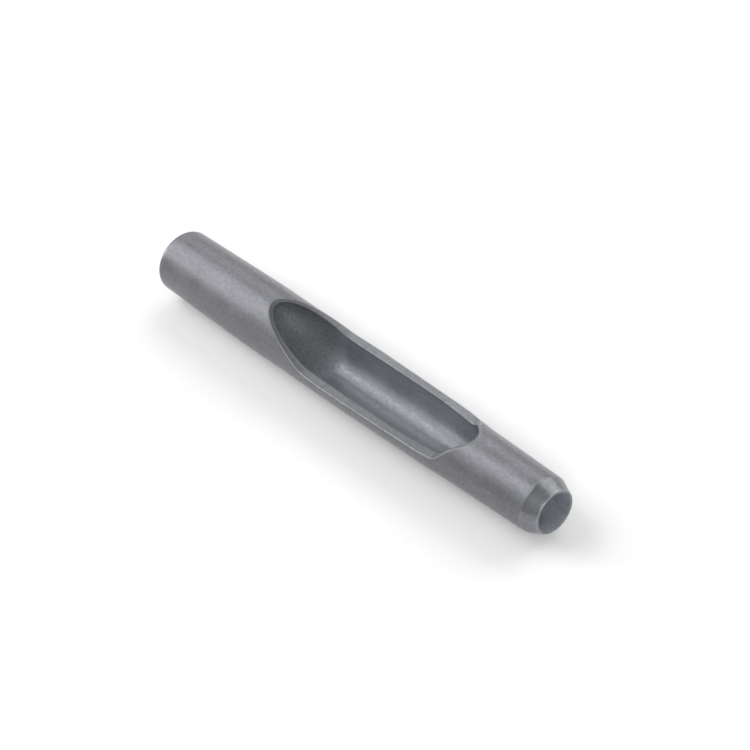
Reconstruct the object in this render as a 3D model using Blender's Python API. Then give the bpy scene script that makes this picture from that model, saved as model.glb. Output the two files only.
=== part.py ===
"""Round drive hole punch: one turned bar, bored from the cutting end and milled open along one side.

The tool lies on its side. +X points at the cutting edge, +Z out of the clearing slot, and the origin is
under the middle of the tool, level with its lowest line. Sizes are in metres.
"""
import math

import bmesh
import bpy
from mathutils import Matrix, Vector

MM = 0.001

# The turned outside, from the struck end to the cutting edge.
LENGTH = 101.6 * MM
STRUCK_RADIUS = 6.19 * MM
STRUCK_ROUNDING = 0.9 * MM
SHOULDER_RADIUS = 6.62 * MM
SHOULDER_X = -25.4 * MM
NOSE_RADIUS = 5.745 * MM
NOSE_X = 35.35 * MM
BEVEL_RADIUS = 5.46 * MM
BEVEL_LENGTH = 2.8 * MM
EDGE_RADIUS = 4.22 * MM

# The hollow that carries the cut slugs from the mouth to the slot. It lies above the bar's axis along
# the slot, so the metal is thickest underneath, and comes down to the axis for the mouth. At the rear its
# floor climbs like a scoop, which turns the slugs out of the slot.
MOUTH_RADIUS = 3.75 * MM
MOUTH_DEPTH = 10.8 * MM
HOLLOW_RADIUS = 5.08 * MM
HOLLOW_NECK_RADIUS = 4.25 * MM
HOLLOW_TAPER_X = 18.0 * MM
HOLLOW_NECK_X = 27.0 * MM
HOLLOW_NECK_END_X = 31.0 * MM
SCOOP_START_X = -6.0 * MM
SCOOP_BACK_X = -21.5 * MM
HOLLOW_RISE_REAR = 1.15 * MM
HOLLOW_RISE_FRONT = 1.42 * MM

# The clearing slot: a long ramp at the rear, level rails, a short steep ramp at the front.
REAR_RAMP_TOP_X = -21.3 * MM
REAR_RAMP_FOOT_X = -7.95 * MM
RAIL_HEIGHT_REAR = 1.3 * MM
RAIL_HEIGHT_FRONT = 1.79 * MM
FRONT_RAMP_FOOT_X = 26.8 * MM
FRONT_RAMP_KNEE_X = 29.9 * MM
FRONT_RAMP_KNEE_HEIGHT = 4.65 * MM
FRONT_RAMP_TOP_X = 32.7 * MM

# The thin walls beside the slot stand a little wider than the bar they were cut from. The spread is full
# from a height above the axis that is given as a share of the radius, and fades to nothing underneath.
WALL_SPREAD = 0.62 * MM
SPREAD_START_X = -19.9 * MM
SPREAD_FULL_X = 2.0 * MM
SPREAD_FADE_X = 22.0 * MM
SPREAD_END_X = 32.0 * MM
SPREAD_FULL_HEIGHT = 0.17
SPREAD_CURVE = 1.5

# Mesh resolution.
SIDES = 64
STATION_SPACING = 3.2 * MM
ROUND_STEPS = 4
SCOOP_STEPS = 14
OVERCUT = 3.0 * MM

STRUCK_X = -LENGTH / 2
TIP_X = LENGTH / 2
BEVEL_X = TIP_X - BEVEL_LENGTH
MOUTH_INNER_X = TIP_X - MOUTH_DEPTH
# A flat of the faceted shoulder faces down, so the lowest line is slightly above the full radius.
AXIS_HEIGHT = SHOULDER_RADIUS * math.cos(math.pi / SIDES)


def clear_scene():
    """Remove whatever the open file holds."""
    for item in list(bpy.data.objects):
        bpy.data.objects.remove(item)


def along(x, points):
    """Straight-line interpolation through (x, value) points, level beyond both ends."""
    if x <= points[0][0]:
        return points[0][1]
    for (x0, value0), (x1, value1) in zip(points, points[1:]):
        if x <= x1:
            return value0 + (value1 - value0) * (x - x0) / (x1 - x0)
    return points[-1][1]


def stations(start, end, spacing=STATION_SPACING):
    """Evenly spaced positions from start to end, both included."""
    count = max(1, round(abs(end - start) / spacing))
    return [start + (end - start) * step / count for step in range(count + 1)]


def smooth_step(value):
    """Ease from 0 to 1 with level ends."""
    value = min(max(value, 0.0), 1.0)
    return value * value * (3 - 2 * value)


def bar_radius(x):
    """Radius of the bar before its ends are rounded and bevelled."""
    return along(x, [(STRUCK_X, STRUCK_RADIUS), (SHOULDER_X, SHOULDER_RADIUS),
                     (NOSE_X, NOSE_RADIUS), (BEVEL_X, BEVEL_RADIUS)])


def outside_profile():
    """(x, radius) points of the turned outside, from the struck end's centre to the tip's centre."""
    profile = [(STRUCK_X, 0.0)]
    for step in range(ROUND_STEPS + 1):
        turn = math.pi / 2 * step / ROUND_STEPS
        x = STRUCK_X + STRUCK_ROUNDING * (1 - math.sin(turn))
        profile.append((x, STRUCK_RADIUS - STRUCK_ROUNDING * (1 - math.cos(turn))))
    profile = [profile[0]] + sorted(profile[1:])
    profile.append((SHOULDER_X, SHOULDER_RADIUS))
    profile += [(x, bar_radius(x)) for x in stations(SPREAD_START_X, NOSE_X)]
    profile += [(BEVEL_X, BEVEL_RADIUS), (TIP_X, EDGE_RADIUS), (TIP_X, 0.0)]
    return profile


def bore_centre(x):
    """Height above the axis of the even bore that the slot opens."""
    return along(x, [(REAR_RAMP_TOP_X, HOLLOW_RISE_REAR), (HOLLOW_NECK_END_X, HOLLOW_RISE_FRONT)])


def scoop_section(x):
    """Radius and centre height of the hollow at its rear end, where the floor climbs as a quarter ellipse.

    Each section is the circle through the floor and the two edges that the even bore leaves in the cut face
    of the slot. The opening so keeps the bore's width while the hollow under it gets shallower.
    """
    reach = (SCOOP_START_X - x) / (SCOOP_START_X - SCOOP_BACK_X)
    floor = bore_centre(x) + HOLLOW_RADIUS - 2 * HOLLOW_RADIUS * math.sqrt(1 - reach ** 2)
    cut_face = along(x, [(REAR_RAMP_TOP_X, bar_radius(REAR_RAMP_TOP_X)), (REAR_RAMP_FOOT_X, RAIL_HEIGHT_REAR),
                         (FRONT_RAMP_FOOT_X, RAIL_HEIGHT_FRONT)])
    depth = cut_face - floor
    half_width_squared = HOLLOW_RADIUS ** 2 - (cut_face - bore_centre(x)) ** 2
    radius = (half_width_squared + depth ** 2) / (2 * depth)
    return radius, floor + radius


def scoop_tip():
    """Place where the scoop's radius runs out, just under the rear end of the slot."""
    closed, open_end = REAR_RAMP_TOP_X - 0.1 * MM, REAR_RAMP_TOP_X + 1.0 * MM
    for _ in range(40):
        middle = (closed + open_end) / 2
        if scoop_section(middle)[0] > 0:
            open_end = middle
        else:
            closed = middle
    return open_end


def hollow_profile():
    """(x, radius) points of the hollow, from the scoop's tip to beyond the mouth."""
    tip = scoop_tip()
    profile = [(tip, 0.0)]
    for step in range(1, SCOOP_STEPS + 1):
        x = tip + (SCOOP_START_X - tip) * (1 - math.cos(math.pi / 2 * step / SCOOP_STEPS))
        profile.append((x, scoop_section(x)[0]))
    profile.append((HOLLOW_TAPER_X, HOLLOW_RADIUS))
    profile.append((HOLLOW_NECK_X, HOLLOW_NECK_RADIUS))
    for x in stations(HOLLOW_NECK_END_X, MOUTH_INNER_X):
        narrowing = smooth_step((x - HOLLOW_NECK_END_X) / (MOUTH_INNER_X - HOLLOW_NECK_END_X))
        profile.append((x, HOLLOW_NECK_RADIUS + (MOUTH_RADIUS - HOLLOW_NECK_RADIUS) * narrowing))
    profile += [(TIP_X + OVERCUT, MOUTH_RADIUS), (TIP_X + OVERCUT, 0.0)]
    return profile


def hollow_centre(x):
    """Height of the hollow's centre above the bar's axis."""
    if x < SCOOP_START_X:
        return scoop_section(x)[1]
    drop = smooth_step((x - HOLLOW_NECK_END_X) / (MOUTH_INNER_X - HOLLOW_NECK_END_X))
    return bore_centre(x) * (1 - drop)


def turned_solid(name, profile):
    """Closed solid of revolution about the X axis, with a flat facing down."""
    mesh = bmesh.new()
    points = [mesh.verts.new((x, 0.0, radius)) for x, radius in profile]
    edges = [mesh.edges.new(pair) for pair in zip(points, points[1:])]
    half_side = Matrix.Rotation(math.pi / SIDES, 3, 'X')
    bmesh.ops.rotate(mesh, cent=(0, 0, 0), matrix=half_side, verts=points)
    bmesh.ops.spin(mesh, geom=points + edges, cent=(0, 0, 0), axis=(1, 0, 0),
                   angle=2 * math.pi, steps=SIDES, use_merge=True)
    bmesh.ops.remove_doubles(mesh, verts=mesh.verts, dist=1e-6)
    bmesh.ops.recalc_face_normals(mesh, faces=mesh.faces)
    for face in mesh.faces:
        face.smooth = True
    return finished_object(name, mesh)


def finished_object(name, mesh):
    """Object that holds the bmesh, linked to the scene at the height of the bar's axis."""
    data = bpy.data.meshes.new(name)
    mesh.to_mesh(data)
    mesh.free()
    made = bpy.data.objects.new(name, data)
    made.location.z = AXIS_HEIGHT
    bpy.context.scene.collection.objects.link(made)
    return made


def spread_walls(bar):
    """Move the walls beside the slot outward, more toward the rails and not at all underneath."""
    for vertex in bar.data.vertices:
        x, y, z = vertex.co
        radius = math.hypot(y, z)
        if radius < EDGE_RADIUS:
            continue
        length_share = smooth_step((x - SPREAD_START_X) / (SPREAD_FULL_X - SPREAD_START_X))
        length_share *= smooth_step((SPREAD_END_X - x) / (SPREAD_END_X - SPREAD_FADE_X))
        height_share = min(1.0, (1 + z / radius) / (1 + SPREAD_FULL_HEIGHT)) ** SPREAD_CURVE
        vertex.co.y += math.copysign(WALL_SPREAD * length_share * height_share, y) if abs(y) > 1e-7 else 0.0


def lift_hollow(hollow):
    """Slide each ring of the hollow up to its own centre height."""
    for vertex in hollow.data.vertices:
        vertex.co.z += hollow_centre(vertex.co.x)


def slot_cutter():
    """Prism across the bar whose lower outline is the floor of the slot."""
    above = 2 * SHOULDER_RADIUS
    rear_slope = (bar_radius(REAR_RAMP_TOP_X) - RAIL_HEIGHT_REAR) / (REAR_RAMP_FOOT_X - REAR_RAMP_TOP_X)
    front_rise = bar_radius(FRONT_RAMP_TOP_X) - FRONT_RAMP_KNEE_HEIGHT
    front_slope = front_rise / (FRONT_RAMP_TOP_X - FRONT_RAMP_KNEE_X)
    outline = [(REAR_RAMP_FOOT_X - (above - RAIL_HEIGHT_REAR) / rear_slope, above),
               (REAR_RAMP_FOOT_X, RAIL_HEIGHT_REAR),
               (FRONT_RAMP_FOOT_X, RAIL_HEIGHT_FRONT),
               (FRONT_RAMP_KNEE_X, FRONT_RAMP_KNEE_HEIGHT),
               (FRONT_RAMP_KNEE_X + (above - FRONT_RAMP_KNEE_HEIGHT) / front_slope, above)]
    mesh = bmesh.new()
    corners = [mesh.verts.new((x, -above, z)) for x, z in outline]
    side = mesh.faces.new(corners)
    grown = bmesh.ops.extrude_face_region(mesh, geom=[side])
    far_side = [item for item in grown["geom"] if isinstance(item, bmesh.types.BMVert)]
    bmesh.ops.translate(mesh, verts=far_side, vec=Vector((0, 2 * above, 0)))
    bmesh.ops.recalc_face_normals(mesh, faces=mesh.faces)
    return finished_object("slot_cutter", mesh)


def cut_away(bar, cutter):
    """Subtract the cutter from the bar and keep the cutter out of sight."""
    cut = bar.modifiers.new(cutter.name, 'BOOLEAN')
    cut.operation = 'DIFFERENCE'
    cut.solver = 'EXACT'
    cut.object = cutter
    cutter.hide_render = True
    cutter.display_type = 'WIRE'


def tool_steel():
    """Hardened tool steel with a grey phosphate finish."""
    material = bpy.data.materials.new("tool_steel")
    material.use_nodes = True
    shader = material.node_tree.nodes["Principled BSDF"]
    shader.inputs["Base Color"].default_value = (0.27, 0.28, 0.31, 1.0)
    shader.inputs["Metallic"].default_value = 0.85
    shader.inputs["Roughness"].default_value = 0.45
    return material


def punch_body():
    """The whole tool: the turned bar less its hollow and its slot."""
    bar = turned_solid("punch_body", outside_profile())
    spread_walls(bar)
    hollow = turned_solid("hollow_cutter", hollow_profile())
    lift_hollow(hollow)
    cut_away(bar, hollow)
    cut_away(bar, slot_cutter())
    bar.data.materials.append(tool_steel())
    return bar


clear_scene()
punch_body()
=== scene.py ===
import math

import bmesh
import bpy
import numpy as np
from mathutils import Matrix, Vector


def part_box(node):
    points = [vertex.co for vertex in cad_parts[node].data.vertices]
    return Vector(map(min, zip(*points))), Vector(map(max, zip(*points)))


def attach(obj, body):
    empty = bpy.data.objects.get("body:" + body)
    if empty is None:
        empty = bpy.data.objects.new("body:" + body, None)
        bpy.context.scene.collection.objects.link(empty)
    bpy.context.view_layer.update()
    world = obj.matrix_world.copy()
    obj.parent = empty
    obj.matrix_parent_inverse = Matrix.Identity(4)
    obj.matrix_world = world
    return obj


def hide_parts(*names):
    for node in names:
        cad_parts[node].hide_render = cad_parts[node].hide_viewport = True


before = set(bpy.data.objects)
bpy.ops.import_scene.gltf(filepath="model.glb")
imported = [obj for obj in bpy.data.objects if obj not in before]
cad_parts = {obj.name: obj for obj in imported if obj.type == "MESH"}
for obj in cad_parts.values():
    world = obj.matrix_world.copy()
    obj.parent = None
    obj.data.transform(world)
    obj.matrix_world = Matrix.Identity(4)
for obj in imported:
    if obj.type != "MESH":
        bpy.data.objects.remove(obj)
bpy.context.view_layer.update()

# A round drive hole punch lying on a pale table with its clearing slot up. Lengths are in metres.
MM = 0.001
NODE_LOW, NODE_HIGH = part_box("punch_body")

# The turned outside. The axis, the struck end and the tip come from the frame.
AXIS_Z = (NODE_LOW.z + NODE_HIGH.z) / 2
STRUCK_X = NODE_LOW.x
TIP_X = NODE_HIGH.x
CAD_SIDES = 64
SHOULDER_RADIUS = AXIS_Z / math.cos(math.pi / CAD_SIDES)
STRUCK_RADIUS = 6.19 * MM
STRUCK_ROUNDING = 0.9 * MM
SHOULDER_X = -25.4 * MM
TAPER_BLEND = 2.5 * MM
NOSE_RADIUS = 5.745 * MM
NOSE_X = 35.35 * MM
BEVEL_RADIUS = 5.46 * MM
BEVEL_LENGTH = 2.8 * MM
BEVEL_X = TIP_X - BEVEL_LENGTH
BEVEL_BLEND = 0.22 * MM
EDGE_RADIUS = 4.22 * MM
EDGE_BLEND = 0.07 * MM

# The hollow: the mouth, a neck, the bore that the slot opens, and a scoop at the rear.
MOUTH_RADIUS = 3.75 * MM
MOUTH_DEPTH = 10.8 * MM
MOUTH_INNER_X = TIP_X - MOUTH_DEPTH
HOLLOW_RADIUS = 5.08 * MM
HOLLOW_NECK_RADIUS = 4.25 * MM
HOLLOW_TAPER_X = 18.0 * MM
HOLLOW_TAPER_BLEND = 3.0 * MM
HOLLOW_NECK_X = 27.0 * MM
HOLLOW_NECK_BLEND = 2.0 * MM
HOLLOW_NECK_END_X = 31.0 * MM
SCOOP_START_X = -6.0 * MM
SCOOP_BACK_X = -21.5 * MM
HOLLOW_RISE_REAR = 1.15 * MM
HOLLOW_RISE_FRONT = 1.42 * MM

# The clearing slot, with heights above the axis.
REAR_RAMP_TOP_X = -21.3 * MM
REAR_RAMP_TOP_HEIGHT = 6.57 * MM
REAR_RAMP_FOOT_X = -7.95 * MM
REAR_FOOT_BLEND = 0.9 * MM
RAIL_HEIGHT_REAR = 1.3 * MM
RAIL_HEIGHT_FRONT = 1.79 * MM
FRONT_RAMP_FOOT_X = 26.8 * MM
FRONT_FOOT_BLEND = 0.5 * MM
FRONT_RAMP_KNEE_X = 29.9 * MM
FRONT_RAMP_KNEE_HEIGHT = 4.65 * MM
FRONT_KNEE_BLEND = 0.8 * MM
FRONT_RAMP_TOP_X = 32.7 * MM
FRONT_RAMP_TOP_HEIGHT = 5.81 * MM

# The rim between the outside and the hollow. Its roundings are no wider than a share of the rim.
OUTER_ROUNDING = 0.15 * MM
INNER_ROUNDING = 0.07 * MM
OUTER_ROUNDING_SHARE = 0.33
INNER_ROUNDING_SHARE = 0.25
RIM_LEAN = math.tan(math.radians(5))

# The thin walls beside the slot stand a little wider than the bar they were cut from.
WALL_SPREAD = 0.62 * MM
SPREAD_START_X = -19.9 * MM
SPREAD_FULL_X = 2.0 * MM
SPREAD_FADE_X = 22.0 * MM
SPREAD_END_X = 32.0 * MM
SPREAD_FULL_HEIGHT = 0.17
SPREAD_CURVE = 1.5

# Grid sizes for half of the tool.
AROUND = 60
EDGE_SHARES = (0, 0.004, 0.014)
FIRST_EVEN_SHARE = 0.03
SLOT_ROWS = 190
CROWDING = 0.4
ROUNDING_STEPS = 4
RIM_STEPS = 5
FACE_RINGS = 6
STRUCK_ROUNDING_RINGS = 12
SHANK_RINGS = 60
NOSE_RINGS = 40
BEVEL_POINTS = 9
RING_POINTS = 4
MOUTH_RINGS = 70
POCKET_RINGS = 24
CORNER_POINTS = 5

# Where the slot's ends are looked for and how finely, and lengths too small to matter.
REAR_SEARCH = (-24 * MM, -10 * MM)
FRONT_SEARCH = (27 * MM, 36 * MM)
SEARCH_POINTS = 20001
POCKET_SEARCH_POINTS = 4001
SLOPE_STEP = 1e-6
LEAST_DEPTH = 0.01 * MM
MERGE_DISTANCE = 2e-8
LEAST_EDGE = 1e-8
TINY = 1e-12

# The finishes, in the order of the tool's material slots.
TURNED, MILLED, BORED, GROUND = range(4)

# Wear on the tip's turned corners: the corner's radius, how far the wear reaches and how strong it is.
TIP_WEAR = (
    (BEVEL_RADIUS, 0.06 * MM, 0.15),
    (EDGE_RADIUS, 0.08 * MM, 0.4),
    (MOUTH_RADIUS, 0.05 * MM, 0.25),
)

# Share of the slot edge's wear that is left at the ends of the slot.
END_WEAR = 0.25

# What the steel finishes have in common: the sizes of the patterns, the part of the noise's range that is
# used, and how far each pattern sways the shade and the gloss.
NOISE_RANGE = (0.3, 0.7)
CLOUD_SIZE = 6.0 * MM
SPECKLE_SIZE = 0.6 * MM
LINE_SIZE = 0.3 * MM
CLOUD_SHADE = 0.10
SPECKLE_SHADE = 0.22
LINE_SHADE = 0.10
CLOUD_GLOSS = 0.03
SPECKLE_GLOSS = 0.05
PIT_SPACING = 1.1 * MM
PIT_EDGE = (0.02, 0.15)
PIT_PATCH_SIZE = 2.3 * MM
PIT_PATCH_EDGE = (0.56, 0.66)
PIT_DEPTH = 0.03 * MM
PIT_TONE = (0.06, 0.06, 0.065, 1)
PIT_STRENGTH = 0.6
WEAR_PATCH_SIZE = 0.8 * MM
WEAR_PATCH_EDGE = (0.3, 0.62)
LEAST_WEAR = 0.4
WORN_TONE = (0.56, 0.58, 0.61, 1)
WORN_STRENGTH = 0.75
WORN_GLOSS = 0.12
TONE_RANGE = 0.38
SPECULAR_LEVEL = 0.7
COATED = 0.3
BARE = 0.6

# The board under the tool, the room and its square diffusers. Each diffuser has an azimuth from +X toward
# +Y and an elevation in degrees, a width in metres and a radiance.
BOARD_HALF = 3.0
BOARD_Z = -0.05 * MM
BOARD_TONE = (0.93, 0.93, 0.93, 1)
BOARD_ROUGHNESS = 0.9
ROOM_STRENGTH = 0.28
DIFFUSER_DISTANCE = 2.0
DIFFUSERS = (
    ("rear_low_diffuser", -160, 21, 0.68, 8.7),
    ("rear_diffuser", 180, 45, 1.0, 2.26),
    ("rear_high_diffuser", -150, 60, 1.0, 2.0),
    ("left_diffuser", -135, 45, 1.0, 0.9),
    ("rear_right_diffuser", 130, 36, 1.0, 1.31),
    ("right_diffuser", 80, 36, 1.8, 2.0),
    ("front_diffuser", -30, 36, 1.0, 4.96),
)

# The camera, turned about the tool's middle. The azimuth is measured from -Y toward +X.
VIEW_AZIMUTH = math.radians(57.98)
VIEW_ELEVATION = math.radians(44.92)
VIEW_ROLL = math.radians(14.42)
VIEW_DISTANCE = 4.446 * (TIP_X - STRUCK_X)
VIEW_OFF_CENTRE = (3.38 * MM, 0.42 * MM)
LENS = 120.0
NEAR_CLIP = 0.01


# ---------------------------------------------------------------- shape formulas

def eased(value):
    """0 below 0, 1 above 1, and 3v^2 - 2v^3 between, which is level at both ends."""
    value = np.clip(value, 0, 1)
    return value * value * (3 - 2 * value)


def hinge(distance, blend):
    """A hyperbola that is 0 well below zero and the distance itself well above it."""
    return (distance + np.sqrt(distance * distance + blend * blend)) / 2


def bar_radius(x):
    """Three straight tapers, one rising to the shoulder and two falling to the bevel, with blended joins."""
    rear = (SHOULDER_RADIUS - STRUCK_RADIUS) / (SHOULDER_X - STRUCK_X)
    middle = (NOSE_RADIUS - SHOULDER_RADIUS) / (NOSE_X - SHOULDER_X)
    nose = (BEVEL_RADIUS - NOSE_RADIUS) / (BEVEL_X - NOSE_X)
    radius = SHOULDER_RADIUS + rear * (x - SHOULDER_X)
    radius = radius + (middle - rear) * hinge(x - SHOULDER_X, TAPER_BLEND)
    return radius + (nose - middle) * hinge(x - NOSE_X, TAPER_BLEND)


def slot_floor(x):
    """Height of the slot's cut face above the axis.

    It is the rail's straight line, plus a hinge for the rear ramp and one for the front ramp, less a hinge
    that eases the front ramp at its knee.
    """
    rail = (RAIL_HEIGHT_FRONT - RAIL_HEIGHT_REAR) / (FRONT_RAMP_FOOT_X - REAR_RAMP_FOOT_X)
    rear = (REAR_RAMP_TOP_HEIGHT - RAIL_HEIGHT_REAR) / (REAR_RAMP_FOOT_X - REAR_RAMP_TOP_X)
    steep = (FRONT_RAMP_KNEE_HEIGHT - RAIL_HEIGHT_FRONT) / (FRONT_RAMP_KNEE_X - FRONT_RAMP_FOOT_X)
    easy = (FRONT_RAMP_TOP_HEIGHT - FRONT_RAMP_KNEE_HEIGHT) / (FRONT_RAMP_TOP_X - FRONT_RAMP_KNEE_X)
    height = RAIL_HEIGHT_REAR + rail * (x - REAR_RAMP_FOOT_X)
    height = height + (rear + rail) * hinge(REAR_RAMP_FOOT_X - x, REAR_FOOT_BLEND)
    height = height + (steep - rail) * hinge(x - FRONT_RAMP_FOOT_X, FRONT_FOOT_BLEND)
    return height - (steep - easy) * hinge(x - FRONT_RAMP_KNEE_X, FRONT_KNEE_BLEND)


def bore_radius(x):
    """Radius of the bore that the slot opens: even, then a slight taper between two hinges."""
    taper = (HOLLOW_RADIUS - HOLLOW_NECK_RADIUS) / (HOLLOW_NECK_X - HOLLOW_TAPER_X)
    radius = HOLLOW_RADIUS - taper * hinge(x - HOLLOW_TAPER_X, HOLLOW_TAPER_BLEND)
    return radius + taper * hinge(x - HOLLOW_NECK_X, HOLLOW_NECK_BLEND)


def bore_centre(x):
    """Height of the bore's centre above the axis."""
    return np.interp(x, [REAR_RAMP_TOP_X, HOLLOW_NECK_END_X], [HOLLOW_RISE_REAR, HOLLOW_RISE_FRONT])


def scoop_floor(x):
    """Height of the hollow's lowest line: the bore's, which climbs as a quarter ellipse at the rear."""
    reach = np.clip((SCOOP_START_X - x) / (SCOOP_START_X - SCOOP_BACK_X), 0, 1)
    return bore_centre(x) + bore_radius(x) * (1 - 2 * np.sqrt(1 - reach * reach))


def hollow_section(x):
    """Radius and centre height of the hollow.

    Each section is the circle through the lowest line and the two edges that the bore leaves in the cut
    face: its radius is half of the depth plus the half width squared over the depth. That gives the bore
    itself along the slot and a shallower scoop at the rear. A neck then eases down to the mouth.
    """
    depth = np.maximum(slot_floor(x) - scoop_floor(x), LEAST_DEPTH)
    half_width_squared = bore_radius(x) ** 2 - (slot_floor(x) - bore_centre(x)) ** 2
    radius = np.maximum((half_width_squared / depth + depth) / 2, 0)
    neck = eased((x - HOLLOW_NECK_END_X) / (MOUTH_INNER_X - HOLLOW_NECK_END_X))
    centre = (scoop_floor(x) + radius) * (1 - neck)
    return radius + (MOUTH_RADIUS - radius) * neck, centre


def hollow_radius(x):
    """Radius of the hollow."""
    return hollow_section(x)[0]


def hollow_centre(x):
    """Height of the hollow's centre above the axis."""
    return hollow_section(x)[1]


def spread(x, turn):
    """Sideways shift of the thin walls: full along the slot, fading toward its ends and the underside.

    It is an ease along the tool, times a power of one plus the cosine of the angle from straight up.
    """
    along = eased((x - SPREAD_START_X) / (SPREAD_FULL_X - SPREAD_START_X))
    along = along * eased((SPREAD_END_X - x) / (SPREAD_END_X - SPREAD_FADE_X))
    height = np.minimum(1, (1 + np.cos(turn)) / (1 + SPREAD_FULL_HEIGHT))
    return WALL_SPREAD * along * height ** SPREAD_CURVE


def on_bar(x, turn, radius=None):
    """Point of the outside at distance x along the axis and angle turn from straight up.

    The angle runs from 0 to a half turn. The point straight up stays on the middle plane.
    """
    radius = bar_radius(x) if radius is None else radius
    across = radius * np.sin(turn) + spread(x, turn) * (turn > 0)
    return np.stack([x + 0 * turn, across, AXIS_Z + radius * np.cos(turn)], -1)


def in_hollow(x, turn):
    """Point of the hollow's wall at distance x along the axis and angle turn from straight up."""
    radius, centre = hollow_section(x)
    return np.stack([x + 0 * turn, radius * np.sin(turn), AXIS_Z + centre + radius * np.cos(turn)], -1)


def unit(vectors):
    """Vectors scaled to length one."""
    return vectors / np.maximum(np.linalg.norm(vectors, axis=-1, keepdims=True), TINY)


# ---------------------------------------------------------------- the slot's two edge loops

def crossings(gap):
    """First and last x of the slot, where the function gap changes sign."""
    rear = np.linspace(*REAR_SEARCH, SEARCH_POINTS)
    front = np.linspace(*FRONT_SEARCH, SEARCH_POINTS)
    return rear[np.argmax(gap(rear) < 0)], front[np.argmax(gap(front) > 0)]


def crowded(count):
    """Shares from 0 to 1 that follow a cosine, so that they crowd at both ends."""
    return (1 - np.cos(np.linspace(0, math.pi, count))) / 2


def edge_loop(surface, radius_at, centre_at):
    """Half of the line where a round surface meets the slot's cut face, from its rear top to its front top.

    Each point's angle is the arc cosine of the cut face's height over the radius. The points crowd where
    the line turns across the tool.
    """
    first, last = crossings(lambda x: slot_floor(x) - centre_at(x) - radius_at(x))
    x = first + (last - first) * crowded(SLOT_ROWS)
    turn = np.arccos(np.clip((slot_floor(x) - centre_at(x)) / radius_at(x), -1, 1))
    turn[[0, -1]] = 0
    points = surface(x, turn)
    tangent = unit(np.gradient(points, axis=0))
    tangent[0] = (0, 1, 0)
    tangent[-1] = (0, -1, 0)
    return x, turn, points, tangent


def rim_normal(x):
    """Upward normal of the slot's cut face."""
    slope = (slot_floor(x + SLOPE_STEP) - slot_floor(x - SLOPE_STEP)) / (2 * SLOPE_STEP)
    return unit(np.stack([-slope, 0 * x, 1 + 0 * x], -1))


def on_rim(points):
    """The points put onto the slot's cut face, which leans outward as far as the walls beside it are spread.

    The height is the slot floor's, plus the lean times how far the point lies inside the middle of the rim.
    """
    placed = points.copy()
    x = points[..., 0]
    middle = (bar_radius(x) + hollow_radius(x)) / 2
    lean = RIM_LEAN * spread(x, 0 * x) / WALL_SPREAD
    placed[..., 2] = AXIS_Z + slot_floor(x) + lean * (middle - points[..., 1])
    return placed


def rounded(start, corner, end):
    """Strip from start to end that rounds the corner between them: a parabola in each cross-section."""
    share = np.linspace(0, 1, ROUNDING_STEPS + 1)[None, :, None]
    start, corner, end = start[:, None], corner[:, None], end[:, None]
    return (1 - share) ** 2 * start + 2 * share * (1 - share) * corner + share ** 2 * end


def across_shares():
    """Shares of the way from the slot or the top line down to the underside, closer at the edge."""
    return np.concatenate([EDGE_SHARES, np.linspace(FIRST_EVEN_SHARE, 1, AROUND + 1 - len(EDGE_SHARES))])


def step_down(surface, radius_at, loop, normal_sign, step):
    """Move an edge loop down its own surface by step: the new x, the new angle and the points.

    The way down is the cross product of the loop's direction and the surface's normal. normal_sign is 1 for
    the outside, whose normal points away from the axis, and -1 for the hollow.
    """
    x, turn, _, tangent = loop
    level = 0 * turn
    normal = normal_sign * np.stack([level, np.sin(turn), np.cos(turn)], -1)
    around = np.stack([level, np.cos(turn), -np.sin(turn)], -1)
    down = normal_sign * np.cross(normal, tangent)
    x_below = x + step * down[:, 0]
    turn_below = turn + step * np.sum(down * around, -1) / radius_at(x)
    return x_below, turn_below, surface(x_below, turn_below)


def down_to_underside(surface, x_top, turn_top):
    """Grid of a surface from the slot's edge to the underside.

    Each row runs from its point on the edge to the tool's lowest line, blending x and the angle evenly.
    """
    shares = across_shares()
    even = (1 - CROWDING) * np.linspace(0, 1, SLOT_ROWS) + CROWDING * crowded(SLOT_ROWS)
    x_under = x_top[0] + (x_top[-1] - x_top[0]) * even[:, None]
    return surface(x_top[:, None] * (1 - shares) + x_under * shares,
                   turn_top[:, None] * (1 - shares) + math.pi * shares)


def slot_ribbon():
    """Five grids around the slot: the outside, its rounded edge, the rim, the inner rounding, the hollow."""
    outer = edge_loop(on_bar, bar_radius, lambda x: 0 * x)
    inner = edge_loop(in_hollow, hollow_radius, hollow_centre)
    x_out, _, out_edge, out_tangent = outer
    x_in, _, in_edge, in_tangent = inner
    width = np.linalg.norm(out_edge - in_edge, axis=-1)
    out_step = np.minimum(OUTER_ROUNDING, OUTER_ROUNDING_SHARE * width)
    in_step = np.minimum(INNER_ROUNDING, INNER_ROUNDING_SHARE * width)
    x_first, turn_first, on_side = step_down(on_bar, bar_radius, outer, 1, out_step)
    x_second, turn_second, on_wall = step_down(in_hollow, hollow_radius, inner, -1, in_step)

    toward_hollow = np.cross(out_tangent, rim_normal(x_out))
    toward_outside = -np.cross(in_tangent, rim_normal(x_in))
    rim_start = on_rim(out_edge + out_step[:, None] * toward_hollow)
    rim_end = on_rim(in_edge + in_step[:, None] * toward_outside)
    rim_shares = np.linspace(0, 1, RIM_STEPS + 1)[None, :, None]
    rim = on_rim(rim_start[:, None] * (1 - rim_shares) + rim_end[:, None] * rim_shares)

    side = down_to_underside(on_bar, x_first, turn_first)
    wall = down_to_underside(in_hollow, x_second, turn_second)
    outer_round = rounded(on_side, out_edge, rim_start)
    inner_round = rounded(rim_end, in_edge, on_wall)
    return side[:, ::-1], outer_round, rim, inner_round, wall


# ---------------------------------------------------------------- the turned ends

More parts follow.
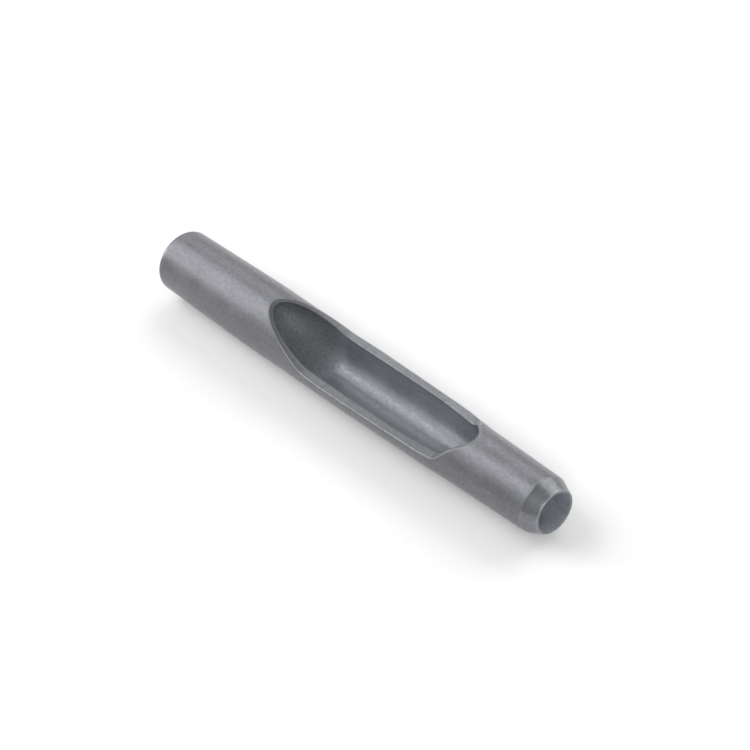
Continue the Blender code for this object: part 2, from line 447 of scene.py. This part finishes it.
def blended_corner(before, corner, after, size):
    """(x, radius) points that round a corner of a profile with a parabola that starts and ends size away."""
    before, corner, after = (np.array(point, float) for point in (before, corner, after))
    start = corner + unit(before - corner) * size
    end = corner + unit(after - corner) * size
    share = np.linspace(0, 1, CORNER_POINTS)[:, None]
    return (1 - share) ** 2 * start + 2 * share * (1 - share) * corner + share ** 2 * end


def rings(profile):
    """Half rings around the axis, one for each (x, radius) point, from straight up to straight down."""
    x = profile[:, :1]
    turn = math.pi * across_shares()[None, :]
    return on_bar(x + 0 * turn, turn + 0 * x, profile[:, 1:] + 0 * turn)


def hollow_rings(x):
    """Half rings of the hollow's wall at each x."""
    turn = math.pi * across_shares()[None, :]
    return in_hollow(x[:, None] + 0 * turn, turn + 0 * x[:, None])


def struck_end(slot_start):
    """Flat end face, quarter circle rim and shank, up to where the slot begins."""
    face = STRUCK_RADIUS - STRUCK_ROUNDING
    flat = np.stack([np.full(FACE_RINGS, STRUCK_X), np.linspace(0, face, FACE_RINGS)], -1)
    turn = np.radians(np.linspace(-90, 0, STRUCK_ROUNDING_RINGS))
    rim_x = STRUCK_X + STRUCK_ROUNDING + STRUCK_ROUNDING * np.sin(turn)
    rim = np.stack([rim_x, face + STRUCK_ROUNDING * np.cos(turn)], -1)
    x = np.linspace(STRUCK_X + STRUCK_ROUNDING, slot_start, SHANK_RINGS)
    shank = np.stack([x, bar_radius(x)], -1)
    return rings(np.concatenate([flat[:-1], rim, shank[1:]]))


def tip_profiles(slot_end):
    """Nose, then the ground bevel and cutting ring, as two (x, radius) profiles that share a point."""
    before, bevel_start = ((x, bar_radius(x)) for x in (BEVEL_X - MM, BEVEL_X))
    edge = (TIP_X, EDGE_RADIUS)
    mouth = (TIP_X, MOUTH_RADIUS)
    start = blended_corner(before, bevel_start, edge, BEVEL_BLEND)
    x = np.linspace(slot_end, start[0, 0], NOSE_RINGS)
    nose = np.stack([x, bar_radius(x)], -1)
    nose[-1] = start[0]
    outer = blended_corner(bevel_start, edge, mouth, EDGE_BLEND)
    inner = blended_corner(edge, mouth, (MOUTH_INNER_X, MOUTH_RADIUS), EDGE_BLEND)
    share = np.linspace(0, 1, BEVEL_POINTS)[1:-1, None]
    bevel = start[-1] * (1 - share) + outer[0] * share
    share = np.linspace(0, 1, RING_POINTS)[1:-1, None]
    ring = outer[-1] * (1 - share) + inner[0] * share
    return nose, np.concatenate([start, bevel, outer, ring, inner])


# ---------------------------------------------------------------- mesh

class Skin:
    """Grids of points gathered into one closed mesh, each half mirrored across the tool."""

    def __init__(self):
        self.points, self.faces, self.finish, self.wear = [], [], [], []
        self.count = 0

    def add(self, grid, finish, wear=None):
        """A grid of points with its finish, and how worn bright each point is, from 0 to 1."""
        rows, columns = grid.shape[:2]
        wear = np.zeros((rows, columns)) if wear is None else wear
        index = np.arange(rows * columns).reshape(rows, columns)
        corners = [index[:-1, :-1], index[1:, :-1], index[1:, 1:], index[:-1, 1:]]
        faces = np.stack([corner.ravel() for corner in corners], -1)
        mirrored = grid * (1, -1, 1)
        for points, order in ((grid, faces), (mirrored, faces[:, ::-1])):
            self.points.append(points.reshape(-1, 3))
            self.faces.append(order + self.count)
            self.finish.append(np.full(len(order), finish))
            self.wear.append(wear.ravel())
            self.count += rows * columns

    def build(self, name, materials):
        """One object with the grids joined along their shared points and the faces turned outward."""
        mesh = bpy.data.meshes.new(name)
        mesh.from_pydata(np.concatenate(self.points), [], np.concatenate(self.faces).tolist())
        mesh.polygons.foreach_set("material_index", np.concatenate(self.finish).astype(np.int32))
        wear = mesh.attributes.new("edge_wear", "FLOAT", "POINT")
        wear.data.foreach_set("value", np.concatenate(self.wear).astype(np.float32))
        joined = bmesh.new()
        joined.from_mesh(mesh)
        bmesh.ops.remove_doubles(joined, verts=joined.verts, dist=MERGE_DISTANCE)
        bmesh.ops.dissolve_degenerate(joined, edges=joined.edges, dist=LEAST_EDGE)
        bmesh.ops.recalc_face_normals(joined, faces=joined.faces)
        for face in joined.faces:
            face.smooth = True
        joined.to_mesh(mesh)
        joined.free()
        for material in materials:
            mesh.materials.append(material)
        made = bpy.data.objects.new(name, mesh)
        bpy.context.scene.collection.objects.link(made)
        return made


def ridge(grid):
    """Wear across a rounding: full on its middle line and none where it meets the faces beside it.

    It is strongest along the rails and eases off toward both ends of the slot.
    """
    x = grid[:, :1, 0]
    rear = eased((x - REAR_RAMP_TOP_X) / (REAR_RAMP_FOOT_X - REAR_RAMP_TOP_X))
    front = eased((FRONT_RAMP_KNEE_X - x) / (FRONT_RAMP_KNEE_X - FRONT_RAMP_FOOT_X))
    share = np.linspace(0, 1, grid.shape[1])[None, :]
    return (END_WEAR + (1 - END_WEAR) * rear * front) * np.sin(math.pi * share)


def corner_wear(profile):
    """Wear of a turned profile's points: a bell curve of the radius around each of the tip's corners."""
    return sum(strength * np.exp(-((profile[:, 1] - radius) / reach) ** 2)
               for radius, reach, strength in TIP_WEAR)


def punch(materials):
    """The whole tool as one closed skin."""
    skin = Skin()
    side, outer_round, rim, inner_round, wall = slot_ribbon()
    skin.add(side, TURNED)
    skin.add(outer_round, MILLED, ridge(outer_round))
    skin.add(rim, MILLED)
    skin.add(inner_round, MILLED, ridge(inner_round))
    skin.add(wall, BORED)

    skin.add(struck_end(side[0, 0, 0]), TURNED)
    nose, tip = tip_profiles(side[-1, 0, 0])
    skin.add(rings(nose), TURNED)
    skin.add(rings(tip), GROUND, np.repeat(corner_wear(tip)[:, None], len(across_shares()), 1))
    skin.add(hollow_rings(np.linspace(tip[-1, 0], wall[-1, 0, 0], MOUTH_RINGS)), BORED)
    pocket_start = wall[0, 0, 0]
    behind = np.linspace(pocket_start, SCOOP_BACK_X, POCKET_SEARCH_POINTS)
    pocket_end = behind[np.argmax(hollow_radius(behind) <= 0)]
    share = np.sin(np.linspace(0, math.pi / 2, POCKET_RINGS))
    skin.add(hollow_rings(pocket_start + (pocket_end - pocket_start) * share), BORED)
    return skin.build("punch_steel", materials)


# ---------------------------------------------------------------- finishes

class Nodes:
    """Short hand for wiring a material's node tree."""

    def __init__(self, name):
        self.material = bpy.data.materials.new(name)
        self.material.use_nodes = True
        self.tree = self.material.node_tree
        self.shader = self.tree.nodes["Principled BSDF"]
        self.place = self.tree.nodes.new("ShaderNodeTexCoord").outputs["Object"]

    def wire(self, source, target):
        """Join an output to an input, or set the input when the source is a plain value."""
        if isinstance(source, bpy.types.NodeSocket):
            self.tree.links.new(source, target)
        else:
            target.default_value = source

    def stretched(self, x, y, z):
        """Object coordinates scaled along each axis."""
        node = self.tree.nodes.new("ShaderNodeMapping")
        node.inputs["Scale"].default_value = (x, y, z)
        self.wire(self.place, node.inputs["Vector"])
        return node.outputs["Vector"]

    def noise(self, size, detail, rough=0.5, place=None):
        """Cloudy noise with features of the given size."""
        node = self.tree.nodes.new("ShaderNodeTexNoise")
        node.inputs["Scale"].default_value = 1 / size
        node.inputs["Detail"].default_value = detail
        node.inputs["Roughness"].default_value = rough
        self.wire(self.place if place is None else place, node.inputs["Vector"])
        return node.outputs["Fac"]

    def spots(self, size):
        """Distance to the nearest of many scattered points."""
        node = self.tree.nodes.new("ShaderNodeTexVoronoi")
        node.inputs["Scale"].default_value = 1 / size
        self.wire(self.place, node.inputs["Vector"])
        return node.outputs["Distance"]

    def ranged(self, value, low, high, to_low=0.0, to_high=1.0, kind="LINEAR"):
        """A value rescaled from one range to another and held at its ends."""
        node = self.tree.nodes.new("ShaderNodeMapRange")
        node.interpolation_type = kind
        self.wire(value, node.inputs["Value"])
        ends = {"From Min": low, "From Max": high, "To Min": to_low, "To Max": to_high}
        for name, number in ends.items():
            node.inputs[name].default_value = number
        return node.outputs["Result"]

    def sway(self, noise, amount, middle=0.0):
        """Noise rescaled so that it sways about a middle value by an amount."""
        return self.ranged(noise, *NOISE_RANGE, middle - amount, middle + amount)

    def sum(self, *values):
        """Values added together."""
        total = values[0]
        for value in values[1:]:
            total = self.math("ADD", total, value)
        return total

    def math(self, kind, first, second):
        """One step of arithmetic."""
        node = self.tree.nodes.new("ShaderNodeMath")
        node.operation = kind
        self.wire(first, node.inputs[0])
        self.wire(second, node.inputs[1])
        return node.outputs[0]

    def blend(self, share, first, second):
        """One colour turning into another as share goes from 0 to 1."""
        node = self.tree.nodes.new("ShaderNodeMix")
        node.data_type = "RGBA"
        self.wire(share, node.inputs[0])
        self.wire(first, node.inputs[6])
        self.wire(second, node.inputs[7])
        return node.outputs[2]

    def scaled(self, colour, factor):
        """A colour made lighter or darker by a factor."""
        node = self.tree.nodes.new("ShaderNodeVectorMath")
        node.operation = "SCALE"
        self.wire(colour, node.inputs[0])
        self.wire(factor, node.inputs["Scale"])
        return node.outputs["Vector"]

    def along(self, axis, start, end, at_start, at_end):
        """A value that eases from one number to another between two places on an axis of the object."""
        node = self.tree.nodes.new("ShaderNodeSeparateXYZ")
        self.wire(self.place, node.inputs[0])
        return self.ranged(node.outputs[axis], start, end, at_start, at_end, "SMOOTHSTEP")

    def attribute(self, name):
        """A named value stored on the mesh."""
        node = self.tree.nodes.new("ShaderNodeAttribute")
        node.attribute_name = name
        return node.outputs["Fac"]

    def bump(self, height, depth, under=None):
        """Surface relief of the given depth."""
        node = self.tree.nodes.new("ShaderNodeBump")
        node.inputs["Distance"].default_value = depth
        self.wire(height, node.inputs["Height"])
        if under is not None:
            self.wire(under, node.inputs["Normal"])
        return node.outputs["Normal"]


def steel(name, tone, roughness, metallic, grain, lines_along, line_depth, painted_light_and_shade=(), dull=None):
    """Grey steel: cloudy tone, speckle, fine directional lines, small pits and bright worn edges.

    tone is the mean colour, grain the depth of the etched grain, and lines_along the scale of the line
    pattern on each axis, which is small along the lines. Each of the painted light and shade steps
    multiplies the tone: it names an axis, two places on it and the factors at those places. dull adds
    roughness in the same way.
    """
    nodes = Nodes(name)
    cloud = nodes.noise(CLOUD_SIZE, 3)
    speckle = nodes.noise(SPECKLE_SIZE, 3, 0.65)
    lines = nodes.noise(LINE_SIZE, 3, 0.6, nodes.stretched(*lines_along))
    pit_patches = nodes.ranged(nodes.noise(PIT_PATCH_SIZE, 1), *PIT_PATCH_EDGE)
    pits = nodes.ranged(nodes.spots(PIT_SPACING), *PIT_EDGE, 1.0, 0.0)
    pits = nodes.math("MULTIPLY", pits, pit_patches)
    patchy = nodes.ranged(nodes.noise(WEAR_PATCH_SIZE, 2), *WEAR_PATCH_EDGE, LEAST_WEAR, 1.0)
    wear = nodes.math("MULTIPLY", nodes.attribute("edge_wear"), patchy)

    shade = nodes.sum(nodes.sway(cloud, CLOUD_SHADE), nodes.sway(speckle, SPECKLE_SHADE),
                      nodes.sway(lines, LINE_SHADE))
    dark = tuple((1 - TONE_RANGE) * value for value in tone)
    light = tuple((1 + TONE_RANGE) * value for value in tone)
    colour = nodes.blend(nodes.ranged(shade, -0.5, 0.5), (*dark, 1), (*light, 1))
    factor = 1.0
    # Painted light and shade: each step lightens or darkens the colour by place.
    for change in painted_light_and_shade:
        factor = nodes.math("MULTIPLY", nodes.along(*change), factor)
    colour = nodes.scaled(colour, factor)
    colour = nodes.blend(nodes.math("MULTIPLY", pits, PIT_STRENGTH), colour, PIT_TONE)
    colour = nodes.blend(nodes.math("MULTIPLY", wear, WORN_STRENGTH), colour, WORN_TONE)
    nodes.wire(colour, nodes.shader.inputs["Base Color"])

    gloss = nodes.sum(nodes.sway(speckle, -SPECKLE_GLOSS, roughness), nodes.sway(cloud, CLOUD_GLOSS),
                      nodes.math("MULTIPLY", wear, -WORN_GLOSS))
    if dull is not None:
        gloss = nodes.math("ADD", gloss, nodes.along(*dull))
    nodes.wire(gloss, nodes.shader.inputs["Roughness"])
    nodes.shader.inputs["Metallic"].default_value = metallic
    nodes.shader.inputs["Specular IOR Level"].default_value = SPECULAR_LEVEL

    relief = nodes.bump(speckle, grain)
    relief = nodes.bump(lines, line_depth, relief)
    relief = nodes.bump(nodes.math("MULTIPLY", pits, -1.0), PIT_DEPTH, relief)
    nodes.wire(relief, nodes.shader.inputs["Normal"])
    return nodes.material


def turned_steel():
    """The outside: drawn lines run along the bar, and painted shade makes it darker below than on top."""
    # Painted shade: the tone falls to 0.72 of itself toward the underside, so the lower side is darker than
    # the top.
    under = ("Z", AXIS_Z + 2.4 * MM, AXIS_Z + 4.2 * MM, 0.72, 1.0)
    return steel("turned_steel", tone=(0.181, 0.184, 0.202), roughness=0.37, metallic=COATED,
                 grain=0.020 * MM, lines_along=(0.10, 1, 1), line_depth=0.006 * MM, painted_light_and_shade=[under])


def milled_steel():
    """The slot's cut face: cutter lines run across the bar.

    Painted shade darkens the rear ramp toward its top, and painted light and shade make the rail on
    the -Y side darker than the other.
    """
    # Painted shade: the rear ramp's tone falls to half toward its top.
    painted_ramp_shade = ("X", REAR_RAMP_TOP_X, REAR_RAMP_FOOT_X + 3 * MM, 0.50, 1.0)
    # Painted light and shade: the rail on the -Y side is darkened and the one on the +Y side lightened.
    painted_rail_shading = ("Y", -2 * MM, 2 * MM, 0.78, 1.10)
    return steel("milled_steel", tone=(0.190, 0.197, 0.212), roughness=0.40, metallic=COATED,
                 grain=0.030 * MM, lines_along=(1, 0.12, 0.12), line_depth=0.012 * MM, painted_light_and_shade=[painted_ramp_shade, painted_rail_shading])


def bored_steel():
    """The hollow: drill lines run around the axis.

    Painted light makes the mouth and the upper walls lighter than the bore, and painted shade makes the
    scoop darker; the scoop is also duller.
    """
    # Painted light: the mouth's tone rises to twice the bore's.
    mouth = ("X", HOLLOW_NECK_END_X, MOUTH_INNER_X, 1.0, 2.0)
    # Painted shade: the scoop's tone falls to 0.70 toward the rear.
    painted_scoop_shade = ("X", REAR_RAMP_FOOT_X - 4 * MM, REAR_RAMP_FOOT_X, 0.70, 1.0)
    # Painted light: the upper walls are up to 1.3 times lighter than the bore.
    painted_wall_light = ("Z", AXIS_Z - 1.5 * MM, AXIS_Z + 1.5 * MM, 1.0, 1.3)
    dull_scoop = ("X", REAR_RAMP_FOOT_X - 1.5 * MM, REAR_RAMP_FOOT_X + 1.2 * MM, 0.34, 0.0)
    return steel("bored_steel", tone=(0.175, 0.184, 0.204), roughness=0.30, metallic=COATED,
                 grain=0.010 * MM, lines_along=(0.3, 1, 1), line_depth=0.004 * MM,
                 painted_light_and_shade=[mouth, painted_scoop_shade, painted_wall_light], dull=dull_scoop)


def ground_steel():
    """The bevel and the cutting ring: barer metal, with grinding lines that run around the axis."""
    return steel("ground_steel", tone=(0.184, 0.190, 0.203), roughness=0.33, metallic=BARE,
                 grain=0.013 * MM, lines_along=(1.6, 0.12, 0.12), line_depth=0.008 * MM)


def table_finish():
    """Smooth white board."""
    nodes = Nodes("white_board")
    nodes.wire(BOARD_TONE, nodes.shader.inputs["Base Color"])
    nodes.wire(BOARD_ROUGHNESS, nodes.shader.inputs["Roughness"])
    return nodes.material


# ---------------------------------------------------------------- stage, light and camera

def table():
    """Wide flat board under the tool."""
    data = bpy.data.meshes.new("table_top")
    corners = [(-1, -1), (1, -1), (1, 1), (-1, 1)]
    data.from_pydata([(x * BOARD_HALF, y * BOARD_HALF, BOARD_Z) for x, y in corners], [], [(0, 1, 2, 3)])
    data.materials.append(table_finish())
    board = bpy.data.objects.new("table_top", data)
    bpy.context.scene.collection.objects.link(board)


def softbox(name, azimuth, elevation, size, radiance):
    """Square diffuser of the given width and radiance, turned to the tool."""
    turn, tilt = math.radians(azimuth), math.radians(elevation)
    away = Vector((math.cos(tilt) * math.cos(turn), math.cos(tilt) * math.sin(turn), math.sin(tilt)))
    data = bpy.data.lights.new(name, "AREA")
    data.shape = "SQUARE"
    data.size = size
    data.energy = radiance * math.pi * size ** 2
    lamp = bpy.data.objects.new(name, data)
    facing = away.to_track_quat("Z", "Y").to_matrix().to_4x4()
    lamp.matrix_world = Matrix.Translation(away * DIFFUSER_DISTANCE) @ facing
    bpy.context.scene.collection.objects.link(lamp)


def studio():
    """White room with soft diffusers around the table."""
    world = bpy.data.worlds.new("white_room")
    world.use_nodes = True
    light = world.node_tree.nodes["Background"]
    light.inputs["Color"].default_value = (1, 1, 1, 1)
    light.inputs["Strength"].default_value = ROOM_STRENGTH
    bpy.context.scene.world = world
    for diffuser in DIFFUSERS:
        softbox(*diffuser)
    bpy.context.scene.view_settings.view_transform = "Standard"


def camera():
    """Long lens above the cutting end, tilted a little so that the tool runs down to the right."""
    back = Vector((math.sin(VIEW_AZIMUTH) * math.cos(VIEW_ELEVATION),
                   -math.cos(VIEW_AZIMUTH) * math.cos(VIEW_ELEVATION), math.sin(VIEW_ELEVATION)))
    level = Vector((0, 0, 1)).cross(back).normalized()
    upright = back.cross(level)
    right = level * math.cos(VIEW_ROLL) - upright * math.sin(VIEW_ROLL)
    up = back.cross(right)
    middle = Vector(((STRUCK_X + TIP_X) / 2, 0, AXIS_Z))
    target = middle + right * VIEW_OFF_CENTRE[0] + up * VIEW_OFF_CENTRE[1]
    data = bpy.data.cameras.new("bench_camera")
    data.lens = LENS
    data.clip_start = NEAR_CLIP
    made = bpy.data.objects.new("bench_camera", data)
    facing = Matrix((right, up, back)).transposed().to_4x4()
    made.matrix_world = Matrix.Translation(target + back * VIEW_DISTANCE) @ facing
    bpy.context.scene.collection.objects.link(made)
    bpy.context.scene.camera = made


def main():
    """Dress the frame: the finished tool, its stage and its light."""
    camera()
    tool = punch([turned_steel(), milled_steel(), bored_steel(), ground_steel()])
    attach(tool, "root")
    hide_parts("punch_body")
    table()
    studio()


main()
